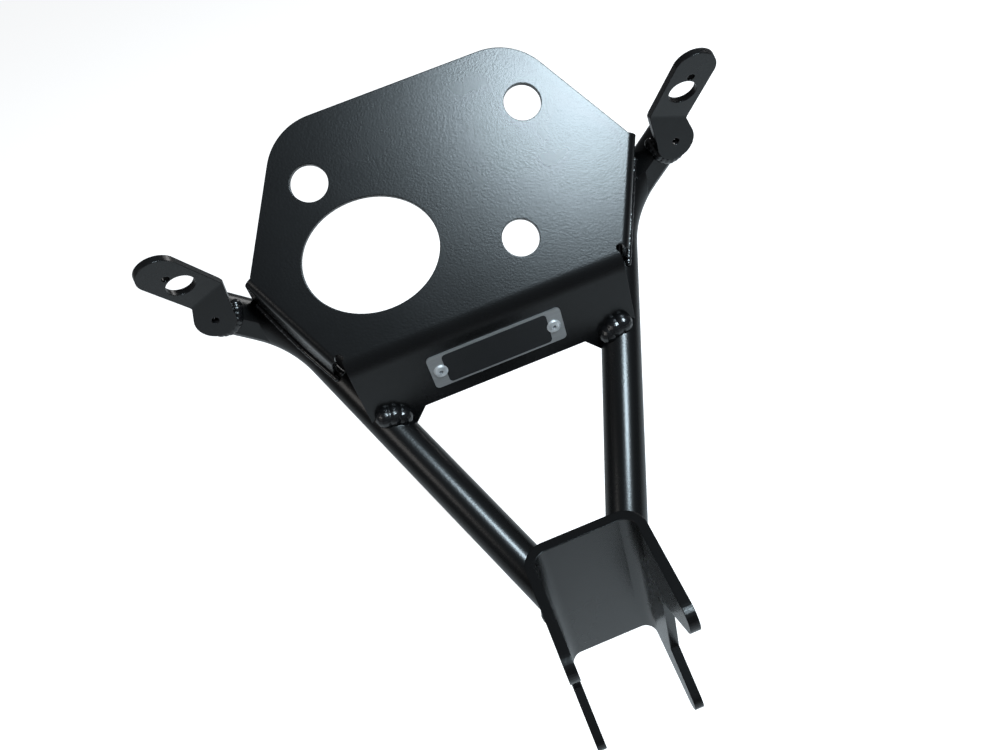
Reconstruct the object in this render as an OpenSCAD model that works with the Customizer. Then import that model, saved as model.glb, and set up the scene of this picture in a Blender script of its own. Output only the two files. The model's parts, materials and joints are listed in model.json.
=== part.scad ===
// Front fairing subframe: a folded gauge plate and two bent tubes on a forked
// head bracket, welded into one piece. Millimetres. X runs across the bike,
// Y forward and Z up. The origin is the middle of the head bracket's seat face.

/* [Tubes] */
// outside diameter of both tubes
tube_od = 18; // [16:0.5:20]
// tube wall
tube_wall = 2; // [1.5:0.25:3]
// distance of each tube's lower end from the middle of the bracket
tube_foot_x = 15.6; // [14.5:0.1:16.5]
// where the two straight runs of the right tube would meet
tube_knee_x = 80.7; // [80:0.1:81.5]
tube_knee_y = 142.4; // [142:0.1:143]
tube_knee_z = 73.5; // [73:0.1:74]
// radius of the tube bend on its centre line
tube_bend_r = 36; // [30:1:42]
// length of the upper run, from the knee to the cut end
tube_tip_run = 41; // [39:0.5:42]
// slope of the upper run above level
tube_tip_rise = 45; // [44:0.5:46]

/* [Head bracket] */
// sheet of the bracket
head_t = 4; // [3:0.5:5]
// outside width of the bracket
head_w = 49; // [46:0.5:52]
// height of the web
head_h = 92; // [88:1:96]
// inside radius of the two folds
head_fold_r = 5.5; // [4:0.5:7]
// reach of the prongs behind the web's front face
prong_reach = 51; // [48:0.5:54]
// depth of the web and cheeks before the open slot starts
slot_root = 25; // [22:0.5:28]
// heights of the slot's upper and lower corners
slot_top = 13; // [10:0.5:16]
slot_low = -31; // [-34:0.5:-28]
// radius of each prong's rounded tip
prong_tip_r = 7; // [6:0.25:7.5]
// how far the lower prong drops below the web, and how much shorter it is
prong_drop = 8; // [7:0.5:10]
prong_short = 5; // [3:0.5:7]

/* [Gauge plate] */
// sheet of the gauge plate
plate_t = 2.5; // [2:0.25:3]
// slope of the plate, with its face to the rider
plate_tilt = 43.5; // [43:0.25:44]
// place of the plate's own origin
plate_y = 98.6; // [98:0.1:99.2]
plate_z = 90.3; // [89.8:0.1:90.8]
// front edge and half its width to the sharp corner
front_y = 97.3; // [94:0.1:100]
front_x = 54.1; // [52:0.1:56]
// radius of the two front corners
front_r = 27; // [22:1:28]
// sharp corners of the side folds: front end and rear end
side_x = 87.9; // [87.5:0.1:88.3]
side_y = 38.4; // [38:0.1:38.8]
rear_x = 65.3; // [65:0.1:65.6]
rear_y = -9; // [-9.5:0.1:-8.5]
// fold angle and inside radius of the side flanges
side_fold = 80; // [79:0.5:81]
side_r = 1.5; // [1:0.25:2]
// fold angle and inside radius of the rear flange
rear_fold = 40; // [38:0.5:42]
rear_r = 12; // [9:1:14]
// length of the rear flange from its sharp fold line
rear_len = 33; // [31:0.5:34]
// half width of the rear flange's free edge
rear_edge_x = 38.5; // [36:0.5:40]

/* [Gauge holes] */
// diameter of the three gauge mounting holes
gauge_hole = 16.2; // [14:0.1:17]
// front pair
gauge_x = 48.4; // [47:0.1:50]
gauge_y = 70.4; // [69:0.1:72]
// single hole
gauge_low_x = 26.1; // [24:0.1:28]
gauge_low_y = 16.7; // [15:0.1:18]
// oval window for the gauge's plug
window_x = -35.4; // [-36:0.1:-34]
window_y = 33.1; // [32:0.1:34]
window_w = 59.3; // [54:0.1:60]
window_h = 48.3; // [44:0.1:49]

/* [Fairing tabs] */
// sheet and width of the tabs
tab_t = 3; // [2.5:0.25:3.5]
tab_w = 18; // [17.5:0.25:19]
// lean of the tab's upper leg to the rear
tab_lean = 22.5; // [20:0.5:25]
// distance from the bend to the middle of the leg's rounded tip
tab_leg = 25; // [24:0.5:27]
// splay of the upper leg, outward from upright
tab_splay = 20.5; // [19:0.5:22]
// fairing bolt hole and small holes
tab_hole = 12; // [10:0.5:13]
tab_pin_hole = 3.2; // [2.5:0.1:4]

/* [Name plate] */
// blank plate and its thickness
label_w = 62; // [58:0.5:64]
label_h = 17; // [15:0.5:18]
label_t = 0.8; // [0.6:0.1:1]
// distance from the rear fold's sharp line to the middle of the plate
label_down = 17.5; // [16.5:0.5:18.5]
// distance of each rivet from the end of the plate, and its shank
rivet_inset = 4.5; // [4:0.5:6]
rivet_d = 3.2; // [3:0.1:4]

/* [Welds] */
// leg length of the seams
weld_leg = 2.2; // [1.8:0.1:2.6]
// radius of the built-up corner beads
bead_r = 4; // [3.5:0.1:4.4]

/* [Hidden] */
$fn = 96;
tube_r = tube_od / 2;
tube_in = tube_r - tube_wall;
head_ro = head_fold_r + head_t;
side_ro = side_r + plate_t;
rear_ro = rear_r + plate_t;
side_set = side_ro * tan(side_fold / 2);
rear_set = rear_ro * tan(rear_fold / 2);
rivet_play = 0.05;
rivet_pitch = label_w - 2 * rivet_inset;
label_row = label_down - rear_set;

function unit(v) = v / norm(v);
function arc(c, r, a0, a1, n = 12) =
    [for (i = [0:n]) c + r * [cos(a0 + (a1 - a0) * i / n), sin(a0 + (a1 - a0) * i / n)]];
function mirrored(pts) = concat(pts, [for (i = [len(pts) - 1:-1:0]) [-pts[i].x, pts[i].y]]);

// Straight runs of the right tube: foot, knee and tip.
foot_p = [tube_foot_x, head_t, 0];
knee_p = [tube_knee_x, tube_knee_y, tube_knee_z];
run_u = unit(knee_p - foot_p);
tip_u = [cos(tube_tip_rise), 0, sin(tube_tip_rise)];
tube_bend = acos(run_u * tip_u);
knee_set = tube_bend_r * tan(tube_bend / 2);
run_len = norm(knee_p - foot_p) - knee_set;
bend_n = unit(tip_u - (tip_u * run_u) * run_u);
bend_swell = 0.03;
bend_lap = 0.4;
bend_axis = cross(-bend_n, run_u);
bend_x0 = [
    cos(atan2(bend_axis.y, bend_axis.x)) * bend_axis.z,
    sin(atan2(bend_axis.y, bend_axis.x)) * bend_axis.z,
    -sin(acos(bend_axis.z))
];
bend_y0 = [-sin(atan2(bend_axis.y, bend_axis.x)), cos(atan2(bend_axis.y, bend_axis.x)), 0];
bend_polar = atan2(-bend_n * bend_y0, -bend_n * bend_x0);

// Side fold line, from its front corner to its rear corner.
side_len = norm([side_x - rear_x, side_y - rear_y]);
side_dir = atan2(rear_y - side_y, rear_x - side_x);
side_d = [cos(side_dir), sin(side_dir)];
side_m = [-sin(side_dir), cos(side_dir)];
side_p = [side_x, side_y];
// Chamfer from the front corner to the side fold.
cham = atan2(front_y - side_y, side_x - front_x);
cham_k = [cos(cham), -sin(cham)];
flat_set = side_set + 0.3;
flat_front = side_p - flat_set / (cham_k * side_m) * cham_k;
flat_rear_y = rear_y + rear_set + 0.3;
flat_rear = side_p - flat_set * side_m
    + (flat_rear_y - side_y + flat_set * side_m.y) / side_d.y * side_d;
side_ahead = (flat_front - side_p) * side_d + 0.2;
side_run = side_len - 5.5 - side_ahead;
side_deep = 36.5 - side_set;
fold_lap = 6;

// Tab: the flat it stands on is the rear face of the foot.
tab_face_y = tube_knee_y - tube_r + 1;
tab_bend_x = 105.6;
tab_bend_z = 116.8;
tab_bend_r = 4;
tab_foot = [6.9, -10.8];
tab_foot_r = tab_w / 2 - 0.2;
tab_hole_up = tab_leg - 11.6;
tab_pin_up = tab_leg - 3.5;

black = [0.05, 0.05, 0.055];
silver = [0.72, 0.73, 0.75];
steel = [0.45, 0.46, 0.48];

// Copy of a right-hand piece on the left.
module left_hand() {
    mirror([1, 0, 0])
        children();
}

// Puts the Z axis of its children on direction d at point p.
module aim(p, d) {
    translate(p)
        rotate([0, acos(d.z), atan2(d.y, d.x)])
            children();
}

// Solid rod of radius r on the centre line of the right tube. The bend is
// swelled by a hair, as a drawn bend is.
module tube_rod(r, over = 0) {
    aim(foot_p - over * run_u, run_u)
        cylinder(r = r, h = run_len + over + bend_lap);
    on_bend()
        rotate_extrude(angle = tube_bend)
            translate([tube_bend_r, 0])
                circle(r = r + bend_swell);
    aim(knee_p + (knee_set - bend_lap) * tip_u, tip_u)
        cylinder(r = r, h = tube_tip_run - knee_set + bend_lap);
}

// Puts children in the bend's plane: centre at the origin, start on +X.
module on_bend() {
    translate(foot_p + run_len * run_u + tube_bend_r * bend_n)
        rotate([0, acos(bend_axis.z), atan2(bend_axis.y, bend_axis.x)])
            rotate([0, 0, bend_polar])
                children();
}

// Bent tube, cut to saddle the bracket and flattened where the tab sits.
module tube_right() {
    color(black)
        difference() {
            tube_rod(tube_r, 14);
            tube_rod(tube_in, 15);
            aim(knee_p + (tube_tip_run - 1) * tip_u, tip_u)
                cylinder(r = tube_in, h = 2);
            head_block();
            translate([knee_p.x + knee_set * tip_u.x, tab_face_y - 20, 60])
                cube([60, 20, 80]);
        }
}

// Outer envelope of the folded bracket, filled in.
module head_block() {
    translate([0, 0, -head_h])
        linear_extrude(2 * head_h)
            head_outline(head_w / 2, head_ro, 60);
}

// Plan of a U with rounded front corners, open to the rear.
module head_outline(half, r, back) {
    front = head_t - (head_w / 2 - half);
    translate([-half, -back])
        square([2 * half, back + front - r]);
    translate([-half + r, front - r - 1])
        square([2 * (half - r), r + 1]);
    for (s = [-1, 1])
        translate([s * (half - r), front - r])
            circle(r = r);
}

// Side view of the cheeks: two prongs with the open slot between them.
module cheek_profile() {
    top = head_h / 2;
    up = [head_t - prong_reach + prong_tip_r, top - prong_tip_r];
    low = [up.x + prong_short - 1, -top - prong_drop + prong_tip_r - 1];
    root_y = head_t - slot_root;
    polygon(concat(
        [[head_t, top]],
        arc(up, prong_tip_r, 90, 225, 14),
        [[root_y, slot_top], [root_y, slot_low]],
        arc(low, prong_tip_r - 1, 120, 262, 14),
        [[head_t - 8, -top], [head_t, -top]]
    ));
}

// Forked U bracket folded from one strip.
module head_bracket() {
    color(black)
        intersection() {
            difference() {
                head_block();
                translate([0, 0, -head_h - 1])
                    linear_extrude(2 * head_h + 2)
                        head_outline(head_w / 2 - head_t, head_fold_r, 70);
            }
            translate([-head_w, 0, 0])
                rotate([90, 0, 90])
                    linear_extrude(2 * head_w)
                        cheek_profile();
        }
}

// The plate's own frame: its top face is z = 0 and y runs to its front edge.
module on_plate() {
    translate([0, plate_y, plate_z])
        rotate([plate_tilt, 0, 0])
            children();
}

// Frame of the right side flange: x along the fold, y down the flange.
module on_side() {
    translate([side_x, side_y, 0])
        rotate([0, 0, side_dir])
            translate([0, -side_set, -side_ro])
                rotate([-side_fold, 0, 0])
                    translate([0, 0, side_r])
                        children();
}

// Frame of the rear flange: its face is z = 0 and y runs down the flange.
module on_rear() {
    translate([0, rear_y + rear_set, -rear_ro])
        rotate([0, 0, 180])
            rotate([-rear_fold, 0, 0])
                translate([0, 0, rear_ro])
                    children();
}

// Fold and flange in one profile, drawn from the flat: angle a, inside
// radius r, leg length deep. It is len long along X.
module folded(a, r, set, deep, len) {
    ro = r + plate_t;
    c = [-set, -ro];
    along = [cos(a), -sin(a)];
    profile = concat(
        [[-set - fold_lap, -plate_t], [-set - fold_lap, 0]],
        arc(c, ro, 90, 90 - a),
        [c + ro * [sin(a), cos(a)] + deep * along],
        [c + r * [sin(a), cos(a)] + deep * along],
        arc(c, r, 90 - a, 90)
    );
    rotate([90, 0, 90])
        linear_extrude(len)
            polygon(profile);
}

// Flat of the plate, inside the set-back of its three folds.
module plate_flat() {
    lay = front_r * tan(cham / 2);
    half = concat(
        arc([front_x - lay, front_y - front_r], front_r, 90, 90 - cham, 16),
        [flat_front, flat_rear]
    );
    polygon(mirrored(half));
}

// Holes of the gauge, cut through the flat.
module gauge_holes() {
    for (p = [[-gauge_x, gauge_y], [gauge_x, gauge_y], [gauge_low_x, gauge_low_y]])
        translate([p.x, p.y, -plate_t - 1])
            cylinder(d = gauge_hole, h = plate_t + 2);
    translate([window_x, window_y, -plate_t - 1])
        scale([window_w / window_h, 1, 1])
            cylinder(d = window_h, h = plate_t + 2);
}

// Right side flange with its fold, and its bare leg grown by g for the seam.
module side_flange() {
    translate(side_p)
        rotate([0, 0, side_dir])
            translate([side_ahead, 0, 0])
                folded(side_fold, side_r, side_set, side_deep, side_run);
}

module side_leg(g) {
    on_side()
        translate([side_ahead, 0, -g])
            cube([side_run, side_deep, plate_t + 2 * g]);
}

// Rear flange, with the two feet that reach down beside the tubes.
module rear_flange() {
    low = rear_len - rear_set;
    wide = rear_x - 2;
    half = [
        [0, low],
        [rear_edge_x, low],
        [rear_edge_x + 7, low + 8],
        [rear_edge_x + 15, low + 8],
        [wide, low - 2],
        [wide, -rear_set - fold_lap - 5],
        [0, -rear_set - fold_lap - 5]
    ];
    difference() {
        intersection() {
            translate([wide, rear_y, 0])
                rotate([0, 0, 180])
                    folded(rear_fold, rear_r, rear_set, low + 9, 2 * wide);
            on_rear()
                translate([0, 0, -20])
                    linear_extrude(40)
                        polygon(mirrored(half));
        }
        on_rear()
            label_places()
                translate([0, 0, -plate_t - 1])
                    cylinder(r = rivet_d / 2 + rivet_play, h = plate_t + 2);
    }
}

// The folded sheet before it is trimmed to the tubes.
module plate_sheet() {
    translate([0, 0, -plate_t])
        linear_extrude(plate_t)
            plate_flat();
    side_flange();
    mirror([1, 0, 0])
        side_flange();
    rear_flange();
}

// Gauge plate: one folded sheet, its flanges cut to fit over the tubes.
module gauge_plate() {
    color(black)
        difference() {
            on_plate()
                difference() {
                    plate_sheet();
                    gauge_holes();
                    // relief where the folds meet
                    for (s = [-1, 1])
                        translate([s * (rear_x - 1.2), flat_rear_y + 0.6, -9])
                            cylinder(r = 1.8, h = 12);
                }
            tube_rod(tube_r);
            left_hand()
                tube_rod(tube_r);
        }
}

// The two rivet places on the rear flange.
module label_places() {
    for (s = [-1, 1])
        translate([s * rivet_pitch / 2, label_row, 0])
            children();
}

// Blank name plate with rounded corners.
module name_plate() {
    r = 2;
    color(silver)
        on_plate()
            on_rear()
                difference() {
                    translate([0, label_row, 0])
                        linear_extrude(label_t)
                            round_rect(label_w, label_h, r);
                    label_places()
                        translate([0, 0, -1])
                            cylinder(r = rivet_d / 2 + rivet_play, h = label_t + 2);
                }
}

module round_rect(w, h, r) {
    translate([-w / 2 + r, -h / 2])
        square([w - 2 * r, h]);
    translate([-w / 2, -h / 2 + r])
        square([w, h - 2 * r]);
    for (x = [-1, 1], y = [-1, 1])
        translate([x * (w / 2 - r), y * (h / 2 - r)])
            circle(r = r);
}

// Puts a rivet's parts at its place, z = 0 on the name plate.
module at_rivet() {
    on_plate()
        on_rear()
            translate([rivet_pitch / 2, label_row, label_t])
                children();
}

// Blind rivet: low domed head, shank and the swelled tail.
module rivet_left() {
    grip = label_t + plate_t;
    bore = rivet_d * 0.28;
    color(silver)
        at_rivet() {
            rotate_extrude()
                polygon([
                    [bore, -grip - 3],
                    [rivet_d * 0.6, -grip - 3],
                    [rivet_d * 0.78, -grip - 1.6],
                    [rivet_d * 0.72, -grip],
                    [rivet_d / 2, -grip],
                    [rivet_d / 2, 0],
                    [rivet_d, 0],
                    [rivet_d, 0.25],
                    [rivet_d * 0.8, 0.75],
                    [rivet_d * 0.45, 1],
                    [bore, 1]
                ]);
        }
}

// Broken-off steel mandrel that stays in the rivet.
module mandrel_left() {
    grip = label_t + plate_t;
    bore = rivet_d * 0.28;
    color(steel)
        at_rivet() {
            translate([0, 0, -grip - 3])
                cylinder(r = bore, h = grip + 3.3);
            translate([0, 0, -grip - 4.6])
                cylinder(r = rivet_d * 0.5, h = 1.6);
        }
}

// Outline of the tab's foot below the bend, grown by g.
module foot_outline(g) {
    half = tab_w / 2;
    polygon(concat([[-half, 0]], arc(tab_foot, tab_foot_r + g, 195, 400, 28), [[half, 0]]));
}

// Frame of the tab's leg before it leans: x along the bend, y up, z to the rear.
module on_tab() {
    translate([tab_bend_x, tab_face_y, tab_bend_z])
        rotate([0, tab_splay, 0])
            rotate([90, 0, 0])
                children();
}

// Frame of the leaning leg.
module on_leg() {
    on_tab()
        translate([0, 0, tab_t + tab_bend_r])
            rotate([tab_lean, 0, 0])
                translate([0, 0, -tab_t - tab_bend_r])
                    children();
}

// Fairing tab: one strip with its foot on the tube and a leg that leans back.
module tab_right() {
    half = tab_w / 2;
    ro = tab_bend_r + tab_t;
    c = [0, ro];
    along = [cos(tab_lean), sin(tab_lean)];
    top = tab_leg + half + 1;
    profile = concat(
        arc(c, ro, -90, tab_lean - 90),
        [c + ro * [sin(tab_lean), -cos(tab_lean)] + top * along],
        [c + tab_bend_r * [sin(tab_lean), -cos(tab_lean)] + top * along],
        arc(c, tab_bend_r, tab_lean - 90, -90)
    );
    color(black)
        difference() {
            union() {
                on_tab()
                    linear_extrude(tab_t)
                        foot_outline(0);
                on_tab()
                    translate([-half, 0, 0])
                        rotate([90, 0, 90])
                            linear_extrude(tab_w)
                                polygon(profile);
            }
            on_leg()
                translate([0, 0, -1])
                    linear_extrude(tab_t + 2)
                        tip_waste(half);
            on_tab()
                translate([tab_foot.x, tab_foot.y, -1])
                    cylinder(d = tab_pin_hole, h = tab_t + 2);
            on_leg()
                translate([0, tab_hole_up, -1])
                    cylinder(d = tab_hole, h = tab_t + 2);
            on_leg()
                translate([0, tab_pin_up, -1])
                    cylinder(d = tab_pin_hole, h = tab_t + 2);
        }
}

// What is cut away around the rounded tip of the leg.
module tip_waste(half) {
    polygon(concat(
        [[half + 2, tab_leg]],
        arc([0, tab_leg], half + 0.05, 0, 180, 24),
        [[-half - 2, tab_leg], [-half - 2, tab_leg + half + 4], [half + 2, tab_leg + half + 4]]
    ));
}

// Built-up bead where the rear flange's corner meets the tube.
module corner_weld_right() {
    places = [[54.3, 23], [52.3, 26.8], [49.7, 30.4]];
    color(black)
        difference() {
            on_plate()
                mirror([1, 0, 0])
                    on_rear()
                        for (p = places)
                            translate([p.x, p.y, -0.4])
                                sphere(r = bead_r);
            tube_rod(tube_r);
            on_plate()
                plate_sheet();
        }
}

// Seam of the side flange along the tube, on both faces of the flange.
module side_weld_right() {
    color(black)
        difference() {
            intersection() {
                tube_rod(tube_r + weld_leg);
                on_plate()
                    side_leg(weld_leg);
            }
            tube_rod(tube_r);
            on_plate()
                side_leg(0);
        }
}

// Seam around the tube's foot, on the bracket's front face.
module head_weld_right() {
    color(black)
        difference() {
            intersection() {
                tube_rod(tube_r + weld_leg, 14);
                translate([0, 0, -40])
                    linear_extrude(80)
                        head_outline(head_w / 2 + weld_leg, head_ro + weld_leg, 20);
            }
            tube_rod(tube_r, 14);
            head_block();
            translate([-head_w, -90, -60])
                cube([2 * head_w, 80, 120]);
        }
}

// Seam around the tab's foot, on the tube.
module tab_weld_right() {
    color(black)
        difference() {
            intersection() {
                tube_rod(tube_r + weld_leg);
                on_tab()
                    translate([0, 0, -6])
                        linear_extrude(8)
                            foot_outline(weld_leg);
            }
            tube_rod(tube_r);
            on_tab()
                linear_extrude(tab_t)
                    foot_outline(0);
            translate([60, tab_face_y - tab_t, 60])
                cube([36, 40, 80]);
        }
}

module tube_left() {
    left_hand()
        tube_right();
}

module tab_left() {
    left_hand()
        tab_right();
}

module rivet_right() {
    left_hand()
        rivet_left();
}

module mandrel_right() {
    left_hand()
        mandrel_left();
}

module corner_weld_left() {
    left_hand()
        corner_weld_right();
}

module side_weld_left() {
    left_hand()
        side_weld_right();
}

module head_weld_left() {
    left_hand()
        head_weld_right();
}

module tab_weld_left() {
    left_hand()
        tab_weld_right();
}

gauge_plate();
head_bracket();
tube_left();
tube_right();
tab_left();
tab_right();
name_plate();
rivet_left();
rivet_right();
mandrel_left();
mandrel_right();
corner_weld_left();
corner_weld_right();
side_weld_left();
side_weld_right();
head_weld_left();
head_weld_right();
tab_weld_left();
tab_weld_right();
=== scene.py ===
import json
import math

import bpy
from mathutils import Matrix, Vector


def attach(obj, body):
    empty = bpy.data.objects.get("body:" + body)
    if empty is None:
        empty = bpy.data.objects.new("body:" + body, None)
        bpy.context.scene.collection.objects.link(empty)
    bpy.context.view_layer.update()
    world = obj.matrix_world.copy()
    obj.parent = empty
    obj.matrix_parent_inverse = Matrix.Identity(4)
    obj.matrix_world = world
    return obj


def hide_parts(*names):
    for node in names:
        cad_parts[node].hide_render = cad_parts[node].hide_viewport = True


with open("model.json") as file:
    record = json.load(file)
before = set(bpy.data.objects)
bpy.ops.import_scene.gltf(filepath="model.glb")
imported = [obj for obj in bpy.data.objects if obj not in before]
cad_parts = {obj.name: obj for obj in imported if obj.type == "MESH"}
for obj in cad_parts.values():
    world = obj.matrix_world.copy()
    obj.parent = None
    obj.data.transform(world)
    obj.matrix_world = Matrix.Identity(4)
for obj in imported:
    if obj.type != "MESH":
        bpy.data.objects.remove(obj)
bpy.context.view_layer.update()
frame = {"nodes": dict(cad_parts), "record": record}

mm = 0.001
print("stage: frame loaded")


# Small helpers

def deselectAll():
    if bpy.context.object and bpy.context.object.mode != "OBJECT":
        bpy.ops.object.mode_set(mode="OBJECT")
    bpy.ops.object.select_all(action="DESELECT")


def useOnly(piece):
    deselectAll()
    piece.select_set(True)
    bpy.context.view_layer.objects.active = piece


def applyModifier(piece, kind, **values):
    useOnly(piece)
    modifier = piece.modifiers.new(kind.title(), kind)
    for key, value in values.items():
        setattr(modifier, key, value)
    bpy.ops.object.modifier_apply(modifier=modifier.name)


def setMaterial(piece, material):
    piece.data.materials.clear()
    piece.data.materials.append(material)


def unit(vector):
    return Vector(vector).normalized()


# Materials

def newMaterial(name):
    material = bpy.data.materials.new(name)
    material.use_nodes = True
    nodes = material.node_tree.nodes
    return material, nodes, material.node_tree.links, nodes["Principled BSDF"]


def addNoise(nodes, links, vector, scale, detail=2.0, roughness=0.5):
    noise = nodes.new("ShaderNodeTexNoise")
    noise.inputs["Scale"].default_value = scale
    noise.inputs["Detail"].default_value = detail
    noise.inputs["Roughness"].default_value = roughness
    links.new(vector, noise.inputs["Vector"])
    return noise.outputs["Fac"]


def addRange(nodes, links, value, low, high, toLow, toHigh):
    mapRange = nodes.new("ShaderNodeMapRange")
    mapRange.inputs["From Min"].default_value = low
    mapRange.inputs["From Max"].default_value = high
    mapRange.inputs["To Min"].default_value = toLow
    mapRange.inputs["To Max"].default_value = toHigh
    links.new(value, mapRange.inputs["Value"])
    return mapRange.outputs["Result"]


def addMix(nodes, links, factor, first, second):
    mix = nodes.new("ShaderNodeMix")
    mix.data_type = "RGBA"
    mix.inputs["A"].default_value = (*first, 1)
    mix.inputs["B"].default_value = (*second, 1)
    links.new(factor, mix.inputs["Factor"])
    return mix.outputs["Result"]


def addBump(nodes, links, height, distance, strength=1.0, normal=None):
    bump = nodes.new("ShaderNodeBump")
    bump.inputs["Distance"].default_value = distance
    bump.inputs["Strength"].default_value = strength
    links.new(height, bump.inputs["Height"])
    if normal is not None:
        links.new(normal, bump.inputs["Normal"])
    return bump.outputs["Normal"]


def makeCoat(name, settings):
    # powder coat: a fine peel in the surface and a slow drift in tone and gloss
    material, nodes, links, shader = newMaterial(name)
    place = nodes.new("ShaderNodeTexCoord").outputs["Object"]
    peel = addNoise(nodes, links, place, settings["peelScale"], 2.5, 0.55)
    drift = addNoise(nodes, links, place, settings["driftScale"], 3.0)
    tone = addMix(nodes, links, drift, settings["dark"], settings["light"])
    links.new(tone, shader.inputs["Base Color"])
    gloss = addRange(nodes, links, drift, 0.2, 0.8, *settings["roughness"])
    links.new(gloss, shader.inputs["Roughness"])
    shader.inputs["Specular IOR Level"].default_value = settings["specular"]
    edge = nodes.new("ShaderNodeBevel")
    edge.samples = 6
    edge.inputs["Radius"].default_value = settings["edge"]
    rounded = edge.outputs["Normal"]
    surface = addBump(nodes, links, peel, settings["peelDepth"], 1.0, rounded)
    links.new(surface, shader.inputs["Normal"])
    return material


coatSettings = {
    "peelScale": 1150,
    "peelDepth": 0.00004,
    "driftScale": 38,
    "dark": (0.0028, 0.0028, 0.003),
    "light": (0.0048, 0.0048, 0.005),
    "roughness": (0.26, 0.28),
    "specular": 0.42,
    "edge": 0.0006,
}
coat = makeCoat("blackCoat", coatSettings)

weldSettings = {
    "peelScale": 900,
    "peelDepth": 0.00003,
    "driftScale": 120,
    "dark": (0.003, 0.003, 0.0034),
    "light": (0.006, 0.006, 0.0066),
    "roughness": (0.2, 0.28),
    "specular": 0.7,
    "edge": 0.0002,
}
weldCoat = makeCoat("weldCoat", weldSettings)


def makeBrushed(name, settings):
    # bare or printed metal with a grain, stretched along X where it is brushed
    material, nodes, links, shader = newMaterial(name)
    place = nodes.new("ShaderNodeTexCoord").outputs["Object"]
    stretch = nodes.new("ShaderNodeMapping")
    stretch.inputs["Scale"].default_value = settings["stretch"]
    links.new(place, stretch.inputs["Vector"])
    grain = addNoise(nodes, links, stretch.outputs["Vector"], settings["grainScale"], 3.0)
    tone = addMix(nodes, links, grain, settings["dark"], settings["light"])
    links.new(tone, shader.inputs["Base Color"])
    gloss = addRange(nodes, links, grain, 0.3, 0.7, *settings["roughness"])
    links.new(gloss, shader.inputs["Roughness"])
    shader.inputs["Metallic"].default_value = settings["metallic"]
    links.new(addBump(nodes, links, grain, settings["depth"]), shader.inputs["Normal"])
    return material


plateMetal = makeBrushed("plateMetal", {
    "stretch": (1, 14, 14),
    "grainScale": 160,
    "dark": (0.34, 0.34, 0.34),
    "light": (0.5, 0.5, 0.5),
    "roughness": (0.4, 0.52),
    "metallic": 0.8,
    "depth": 0.00002,
})
panelMetal = makeBrushed("panelMetal", {
    "stretch": (1, 1, 1),
    "grainScale": 1500,
    "dark": (0.007, 0.007, 0.008),
    "light": (0.013, 0.013, 0.014),
    "roughness": (0.42, 0.52),
    "metallic": 0.1,
    "depth": 0.00001,
})
rivetMetal = makeBrushed("rivetMetal", {
    "stretch": (1, 1, 1),
    "grainScale": 700,
    "dark": (0.68, 0.69, 0.7),
    "light": (0.84, 0.85, 0.86),
    "roughness": (0.34, 0.46),
    "metallic": 0.75,
    "depth": 0.00002,
})
mandrelMetal = makeBrushed("mandrelMetal", {
    "stretch": (1, 1, 1),
    "grainScale": 900,
    "dark": (0.14, 0.14, 0.145),
    "light": (0.26, 0.26, 0.27),
    "roughness": (0.4, 0.55),
    "metallic": 1.0,
    "depth": 0.00003,
})
print("stage: materials made")


# Materials of the carried-over nodes

nodeMaterials = {
    "black_coat": coat,
    "weld_coat": weldCoat,
    "name_plate": plateMetal,
    "rivet": rivetMetal,
    "mandrel": mandrelMetal,
}
for entry in frame["record"]["subparts"]:
    node = frame["nodes"][entry["node"]]
    setMaterial(node, nodeMaterials[entry["material_slot"]])
    useOnly(node)
    bpy.ops.object.shade_smooth_by_angle(angle=math.radians(28))
print("stage: nodes dressed")


# Places on the object, in millimetres

plateSettings = {
    "origin": (0, 98.6, 90.3),
    "tilt": 43.5,
    "sheet": 2.5,
    "sideCorner": (87.9, 38.4, 0),
    "rearCorner": (65.3, -9, 0),
    "sideFold": 80,
    "rearY": -9,
    "rearFold": 40,
    "rearRadius": 12,
}
tubeSettings = {
    "foot": (15.6, 4, 0),
    "knee": (80.7, 142.4, 73.5),
    "tip": (0.70711, 0, 0.70711),
    "bend": 36,
    "radius": 9,
}


def turn(angle, axis):
    return Matrix.Rotation(math.radians(angle), 4, axis)


plateFrame = Matrix.Translation(plateSettings["origin"]) @ turn(plateSettings["tilt"], "X")
rearOut = plateSettings["rearRadius"] + plateSettings["sheet"]
rearSet = rearOut * math.tan(math.radians(plateSettings["rearFold"] / 2))
rearFrame = (
    plateFrame
    @ Matrix.Translation((0, plateSettings["rearY"] + rearSet, -rearOut))
    @ turn(180, "Z")
    @ turn(-plateSettings["rearFold"], "X")
    @ Matrix.Translation((0, 0, rearOut))
)

foot = Vector(tubeSettings["foot"])
knee = Vector(tubeSettings["knee"])
runWay = unit(knee - foot)
tipWay = unit(tubeSettings["tip"])
bendAngle = math.acos(runWay.dot(tipWay))
runLength = (knee - foot).length - tubeSettings["bend"] * math.tan(bendAngle / 2)
bendIn = unit(tipWay - tipWay.dot(runWay) * runWay)
bendNormal = unit(runWay.cross(tipWay))


def tubeStation(along):
    # centre of the tube and its direction, at a distance from the foot
    if along <= runLength:
        return foot + along * runWay, runWay
    angle = (along - runLength) / tubeSettings["bend"]
    centre = foot + runLength * runWay + tubeSettings["bend"] * bendIn
    if angle <= bendAngle:
        way = math.cos(angle) * runWay + math.sin(angle) * bendIn
        spoke = math.sin(angle) * runWay - math.cos(angle) * bendIn
        return centre + tubeSettings["bend"] * spoke, way
    rest = (angle - bendAngle) * tubeSettings["bend"]
    spoke = math.sin(bendAngle) * runWay - math.cos(bendAngle) * bendIn
    return centre + tubeSettings["bend"] * spoke + rest * tipWay, tipWay


# Weld beads, laid drop by drop along their seams

beadSettings = {
    "uneven": 0.14,
    "grain": 0.00028,
    "segments": 14,
    "rings": 9,
    "smoothing": 2,
}


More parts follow.
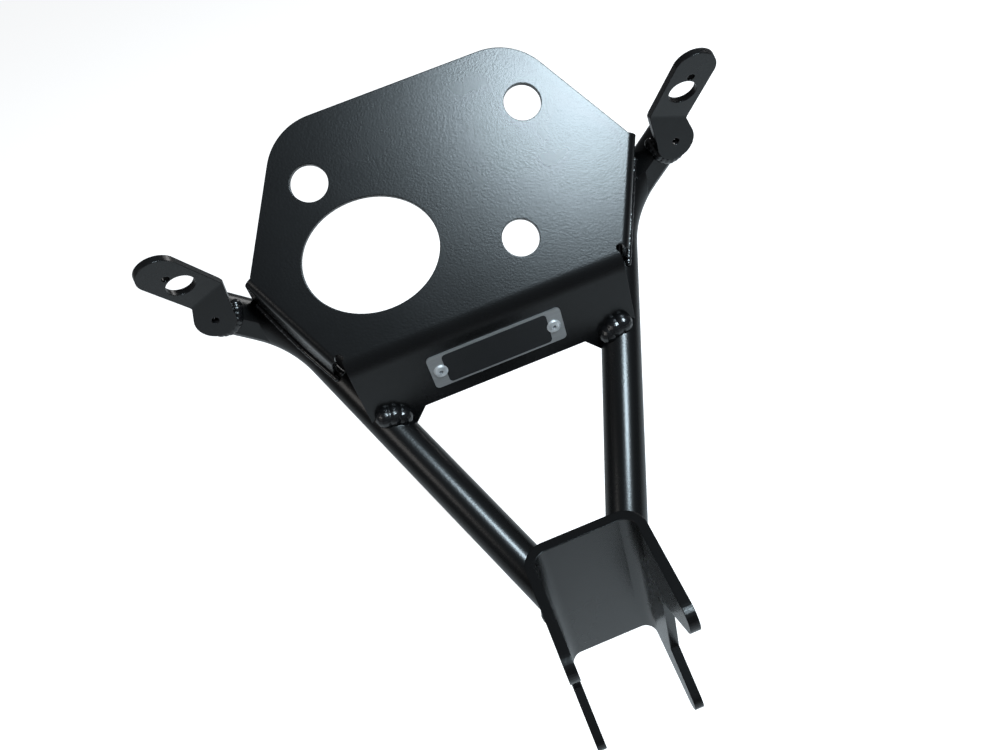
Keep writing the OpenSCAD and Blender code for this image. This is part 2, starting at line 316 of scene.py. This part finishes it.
def wander(index, amount):
    # small uneven shift that is the same at every run
    return amount * math.sin(index * 2.399 + 0.7) * math.cos(index * 1.117)


def resample(points, step):
    result = [points[0]]
    left = step
    for start, end in zip(points, points[1:]):
        length = (end - start).length
        while length >= left:
            start = start + (end - start) * (left / length)
            result.append(start)
            length = (end - start).length
            left = step
        left -= length
    return result


def makeBead(name, paths, settings, side, replaced):
    deselectAll()
    mesh = bpy.data.meshes.new(name)
    piece = bpy.data.objects.new(name, mesh)
    bpy.context.collection.objects.link(piece)
    useOnly(piece)
    bpy.ops.object.mode_set(mode="EDIT")
    count = 0
    for path in paths:
        for point in resample(path, settings["step"]):
            count += 1
            bpy.ops.mesh.primitive_uv_sphere_add(
                segments=beadSettings["segments"],
                ring_count=beadSettings["rings"],
                radius=(settings["drop"] + wander(count, beadSettings["uneven"])) * mm,
                location=Vector((point.x * side, point.y, point.z)) * mm,
            )
    bpy.ops.object.mode_set(mode="OBJECT")
    applyModifier(piece, "REMESH", mode="VOXEL", voxel_size=beadSettings["grain"])
    applyModifier(piece, "SMOOTH", factor=0.5, iterations=beadSettings["smoothing"])
    bpy.ops.object.shade_smooth()
    setMaterial(piece, weldCoat)
    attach(piece, "root")
    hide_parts(replaced)
    return piece


def makeBeadPair(name, paths, settings, node):
    for sideName, side in (("Left", -1), ("Right", 1)):
        makeBead(name + sideName, paths, settings, side, f"{node}_{sideName.lower()}")


sideSettings = {
    "drop": 1.45,
    "step": 1.25,
    "stand": 0.35,
    "clear": 0.5,
    "start": 70,
    "stride": 0.35,
    "stations": 400,
    "span": (1.5, 49.5),
}


def sideSeams():
    # along both faces of the side flange, where it meets the tube
    corner = Vector(plateSettings["sideCorner"])
    rear = Vector(plateSettings["rearCorner"])
    fold = unit(rear - corner)
    outward = Vector((-fold.y, fold.x, 0))
    angle = math.radians(plateSettings["sideFold"])
    down = math.cos(angle) * outward - math.sin(angle) * Vector((0, 0, 1))
    face = math.sin(angle) * outward + math.cos(angle) * Vector((0, 0, 1))
    spin = plateFrame.to_3x3()
    corner = plateFrame @ corner
    fold, down, face = spin @ fold, spin @ down, spin @ face
    reach = tubeSettings["radius"] + sideSettings["stand"]
    nearEnd, farEnd = sideSettings["span"]
    clear = sideSettings["clear"]
    seams = []
    for offset in (clear, -plateSettings["sheet"] - clear):
        seam = []
        for index in range(sideSettings["stations"]):
            along = sideSettings["start"] + index * sideSettings["stride"]
            centre, way = tubeStation(along)
            first = bendNormal
            second = way.cross(bendNormal)
            a = reach * first.dot(face)
            b = reach * second.dot(face)
            c = offset - (centre - corner).dot(face)
            size = math.hypot(a, b)
            if abs(c) > size:
                continue
            spots = []
            for sign in (-1, 1):
                phi = math.atan2(b, a) + sign * math.acos(c / size)
                spoke = math.cos(phi) * first + math.sin(phi) * second
                spots.append(centre + reach * spoke)
            spot = min(spots, key=lambda p: (p - corner).dot(down))
            if nearEnd < (spot - corner).dot(fold) < farEnd:
                seam.append(spot)
        seams.append(seam)
    return seams


headSettings = {
    "drop": 1.9,
    "step": 1.25,
    "stand": 0.5,
    "lift": 0.35,
    "spots": 96,
    "search": 16.0,
    "back": -7,
    "bracketFront": 4,
    "bracketHalf": 24.5,
    "bracketFold": 9.5,
    "beside": -30,
}


def bracketSurface(x):
    # how far forward the folded bracket reaches, at x from its middle
    front, fold = headSettings["bracketFront"], headSettings["bracketFold"]
    past = x - (headSettings["bracketHalf"] - fold)
    if past <= 0:
        return front
    if past >= fold:
        return headSettings["beside"]
    return front - fold + math.sqrt(fold ** 2 - past ** 2)


def headSeam():
    # where the tube's skin meets the bracket's front face and fold
    first = bendNormal
    second = runWay.cross(bendNormal)
    reach = tubeSettings["radius"] + headSettings["stand"]
    seam = []
    for index in range(headSettings["spots"] + 1):
        phi = 2 * math.pi * index / headSettings["spots"]
        ring = foot + reach * (math.cos(phi) * first + math.sin(phi) * second)
        low, high = -headSettings["search"], headSettings["search"]
        for _ in range(30):
            middle = (low + high) / 2
            spot = ring + middle * runWay
            if spot.y > bracketSurface(spot.x):
                high = middle
            else:
                low = middle
        spot = ring + high * runWay
        onBracket = spot.y > headSettings["back"]
        seam.append(spot + headSettings["lift"] * runWay if onBracket else None)
    # the ring is walked twice, so that a run across its start stays whole
    laps = seam + seam[1:] if None in seam else seam
    parts, current = [], []
    for spot in laps + [None]:
        if spot is not None:
            current.append(spot)
        elif current:
            parts.append(current)
            current = []
    return [max(parts, key=len)]


tabSettings = {
    "drop": 2.6,
    "step": 2.2,
    "corner": (105.6, 0, 116.8),
    "splay": 20.5,
    "footX": 6.9,
    "footY": -10.8,
    "ring": 9.4,
    "firstAngle": 150,
    "angleStep": 3,
    "spots": 60,
    "flat": 133.9,
    "onTube": 8.4,
    "upTube": 40,
}


def tabSeam():
    # around the edge of the tab's foot, where it lies on the flattened tube
    splay = math.radians(tabSettings["splay"])
    across = Vector((math.cos(splay), 0, -math.sin(splay)))
    upward = Vector((math.sin(splay), 0, math.cos(splay)))
    seam = []
    for index in range(tabSettings["spots"]):
        angle = math.radians(tabSettings["firstAngle"] + index * tabSettings["angleStep"])
        x = tabSettings["footX"] + tabSettings["ring"] * math.cos(angle)
        y = tabSettings["footY"] + tabSettings["ring"] * math.sin(angle)
        spot = Vector(tabSettings["corner"]) + x * across + y * upward
        away = spot - Vector((knee.x, 0, knee.z))
        along = away.dot(tipWay)
        off = (away - along * tipWay).length
        if off < tabSettings["onTube"] and along < tabSettings["upTube"]:
            surface = knee.y - math.sqrt(tubeSettings["radius"] ** 2 - off ** 2)
            seam.append(Vector((spot.x, max(surface, tabSettings["flat"]), spot.z)))
    return [seam]


cornerSettings = {
    "drop": 4.9,
    "step": 3.7,
    "lift": 1.5,
    "stand": 0.3,
    "spots": 180,
    "outerX": 57.8,
    "lastRow": 29.5,
}


def cornerSeam():
    # down the inner side of the tube, where it comes through the rear flange
    spin = rearFrame.to_3x3()
    face, down = spin @ Vector((0, 0, 1)), spin @ Vector((0, 1, 0))
    origin = rearFrame @ Vector((0, 0, cornerSettings["lift"]))
    first = bendNormal
    second = runWay.cross(bendNormal)
    reach = tubeSettings["radius"] + cornerSettings["stand"]
    seam = []
    for index in range(cornerSettings["spots"] + 1):
        phi = 2 * math.pi * index / cornerSettings["spots"]
        ring = foot + reach * (math.cos(phi) * first + math.sin(phi) * second)
        spot = ring + runWay * ((origin - ring).dot(face) / runWay.dot(face))
        row = (spot - origin).dot(down)
        centre = foot + runWay * (spot - foot).dot(runWay)
        if spot.x < min(centre.x, cornerSettings["outerX"]) and row < cornerSettings["lastRow"]:
            seam.append((row, spot))
    return [[spot for row, spot in sorted(seam, key=lambda pair: pair[0])]]


makeBeadPair("sideWeld", sideSeams(), sideSettings, "side_weld")
makeBeadPair("headWeld", headSeam(), headSettings, "head_weld")
makeBeadPair("tabWeld", tabSeam(), tabSettings, "tab_weld")
makeBeadPair("cornerWeld", cornerSeam(), cornerSettings, "corner_weld")
print("stage: weld beads laid")


# Dark panel of the blank name plate

panelSettings = {
    "width": 48.5,
    "height": 15.0,
    "thick": 0.12,
    "corner": 1.8,
    "down": 17.5,
    "plateThick": 0.8,
    "sink": 0.02,
    "segments": 8,
}


def makePanel(settings):
    deselectAll()
    bpy.ops.mesh.primitive_cube_add(size=1, location=(0, 0, 0))
    piece = bpy.context.object
    piece.name = "namePanel"
    piece.data.name = "namePanel"
    bpy.ops.object.mode_set(mode="EDIT")
    bpy.ops.mesh.select_all(action="SELECT")
    size = (settings["width"] * mm, settings["height"] * mm, settings["thick"] * mm)
    bpy.ops.transform.resize(value=size)
    bpy.ops.mesh.select_mode(type="EDGE")
    bpy.ops.mesh.select_all(action="DESELECT")
    bpy.ops.object.mode_set(mode="OBJECT")
    # the four upright edges
    for edge in piece.data.edges:
        start, end = (piece.data.vertices[v].co for v in edge.vertices)
        edge.select = abs(start.z - end.z) > 0.00001
    bpy.ops.object.mode_set(mode="EDIT")
    bpy.ops.mesh.bevel(
        offset=settings["corner"] * mm,
        segments=settings["segments"],
        affect="EDGES",
    )
    bpy.ops.mesh.select_all(action="SELECT")
    bpy.ops.mesh.normals_make_consistent(inside=False)
    bpy.ops.object.mode_set(mode="OBJECT")
    lift = settings["plateThick"] + settings["thick"] / 2 - settings["sink"]
    place = rearFrame @ Matrix.Translation((0, settings["down"] - rearSet, lift))
    spin = place.to_3x3().to_4x4()
    piece.data.transform(Matrix.Translation(place.translation * mm) @ spin)
    useOnly(piece)
    bpy.ops.object.shade_smooth_by_angle(angle=math.radians(30))
    setMaterial(piece, panelMetal)
    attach(piece, "root")
    return piece


makePanel(panelSettings)
print("stage: name panel made")


# Floor, lamps, world and camera

stageSettings = {
    "floorZ": -0.26,
    "floorSize": 14,
    "floorColor": (0.74, 0.74, 0.74),
    "floorRoughness": 0.9,
    "cloudScale": 1.5,
    "cloudDim": 0.985,
    "floorSeen": 0.82,
    "floorMirrored": 0.1,
    "worldColor": (0.80, 0.84, 0.90),
    "worldStrength": 0.11,
    "worldSeen": 1.0,
}


def addSeen(nodes, links):
    # 1 for rays from the camera or through glass, with the node of all rays
    rays = nodes.new("ShaderNodeLightPath")
    seen = nodes.new("ShaderNodeMath")
    seen.operation = "MAXIMUM"
    links.new(rays.outputs["Is Camera Ray"], seen.inputs[0])
    links.new(rays.outputs["Is Transmission Ray"], seen.inputs[1])
    return rays, seen.outputs[0]


def makeFloor(settings):
    deselectAll()
    bpy.ops.mesh.primitive_plane_add(
        size=settings["floorSize"],
        location=(0, 0, settings["floorZ"]),
    )
    floor = bpy.context.object
    floor.name = "floor"
    material, nodes, links, shader = newMaterial("paleFloor")
    place = nodes.new("ShaderNodeTexCoord").outputs["Object"]
    cloud = addNoise(nodes, links, place, settings["cloudScale"], 2.0)
    first = settings["floorColor"]
    second = tuple(c * settings["cloudDim"] for c in first)
    links.new(addMix(nodes, links, cloud, first, second), shader.inputs["Base Color"])
    shader.inputs["Roughness"].default_value = settings["floorRoughness"]
    shader.inputs["Specular IOR Level"].default_value = 0.1
    # seen as white by the camera, and a little brighter in mirrors than it is lit
    rays, seen = addSeen(nodes, links)
    glossy = nodes.new("ShaderNodeMath")
    glossy.operation = "MULTIPLY_ADD"
    glossy.inputs[1].default_value = settings["floorMirrored"]
    links.new(rays.outputs["Is Glossy Ray"], glossy.inputs[0])
    links.new(seen, glossy.inputs[2])
    glow = nodes.new("ShaderNodeMath")
    glow.operation = "MULTIPLY"
    glow.inputs[1].default_value = settings["floorSeen"]
    links.new(glossy.outputs[0], glow.inputs[0])
    shader.inputs["Emission Color"].default_value = (1, 1, 1, 1)
    links.new(glow.outputs[0], shader.inputs["Emission Strength"])
    setMaterial(floor, material)


def makeWorld(settings):
    world = bpy.data.worlds.new("studio")
    bpy.context.scene.world = world
    world.use_nodes = True
    nodes, links = world.node_tree.nodes, world.node_tree.links
    background = nodes["Background"]
    background.inputs["Color"].default_value = (*settings["worldColor"], 1)
    rays, seen = addSeen(nodes, links)
    lit, shown = settings["worldStrength"], settings["worldSeen"]
    links.new(addRange(nodes, links, seen, 0, 1, lit, shown), background.inputs["Strength"])


lampSettings = (
    {
        "name": "keyLamp",
        "place": (0.36, -0.29, 1.05),
        "target": (0.05, 0.12, 0.11),
        "size": (0.3, 0.3),
        "power": 15,
        "color": (0.74, 0.9, 1.0),
    },
    {
        "name": "fillLamp",
        "place": (-0.95, -0.15, 0.75),
        "target": (0, 0.08, 0.05),
        "size": (0.7, 0.4),
        "power": 2,
        "color": (1.0, 0.97, 0.93),
    },
    {
        "name": "rimLamp",
        "place": (0.75, 0.95, 0.45),
        "target": (0.02, 0.1, 0.05),
        "size": (0.6, 0.35),
        "power": 3,
        "color": (1.0, 1.0, 1.0),
    },
)


def makeLamp(settings):
    light = bpy.data.lights.new(settings["name"], "AREA")
    light.shape = "RECTANGLE"
    light.size, light.size_y = settings["size"]
    light.energy = settings["power"]
    light.color = settings["color"]
    lamp = bpy.data.objects.new(settings["name"], light)
    bpy.context.collection.objects.link(lamp)
    lamp.location = settings["place"]
    aim = Vector(settings["target"]) - Vector(settings["place"])
    lamp.rotation_euler = aim.to_track_quat("-Z", "Y").to_euler()


makeFloor(stageSettings)
makeWorld(stageSettings)
for lampSetting in lampSettings:
    makeLamp(lampSetting)

cameraSettings = {
    "place": (-0.0222, -0.1597, 0.3091),
    "right": (0.9267, -0.3030, -0.2222),
    "forward": (0.0542, 0.6930, -0.7189),
    "lens": 28.8,
    "sensor": 36,
    "near": 0.01,
}


def makeCamera(settings):
    data = bpy.data.cameras.new("camera")
    data.lens = settings["lens"]
    data.sensor_width = settings["sensor"]
    data.clip_start = settings["near"]
    camera = bpy.data.objects.new("camera", data)
    bpy.context.collection.objects.link(camera)
    forward = unit(settings["forward"])
    right = Vector(settings["right"])
    right = unit(right - forward * forward.dot(right))
    up = right.cross(forward)
    spin = Matrix((right, up, -forward)).transposed()
    camera.location = settings["place"]
    camera.rotation_euler = spin.to_euler()
    bpy.context.scene.camera = camera


makeCamera(cameraSettings)
bpy.context.scene.view_settings.view_transform = "Standard"
print("stage: floor, lamps and camera set")
